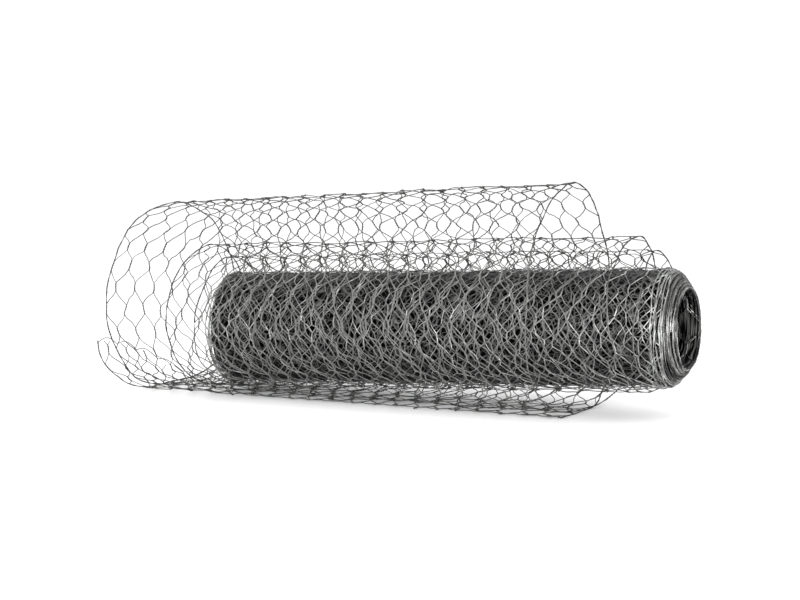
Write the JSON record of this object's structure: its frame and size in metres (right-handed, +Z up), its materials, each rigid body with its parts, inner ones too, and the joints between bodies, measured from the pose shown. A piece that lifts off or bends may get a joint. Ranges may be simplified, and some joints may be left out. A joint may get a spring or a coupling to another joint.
{
  "type": "roll of chicken wire",
  "caption": "Roll of galvanised hexagonal wire netting lying on its side, with an open bore, its outer turns sprung loose and its free end curling up from the floor.",
  "frame": {"origin": "on the floor, under the middle of the wound roll", "axes": "+X along the roll towards the end whose turns have slid out, +Y behind it, +Z up"},
  "size_m": [0.6195, 0.3208, 0.2389],
  "materials": {
    "galvanised_wire": "dull hot-dip galvanised"
  },
  "bodies": {
    "root": {"netting_roll": "galvanised_wire"}
  },
  "joints": []
}
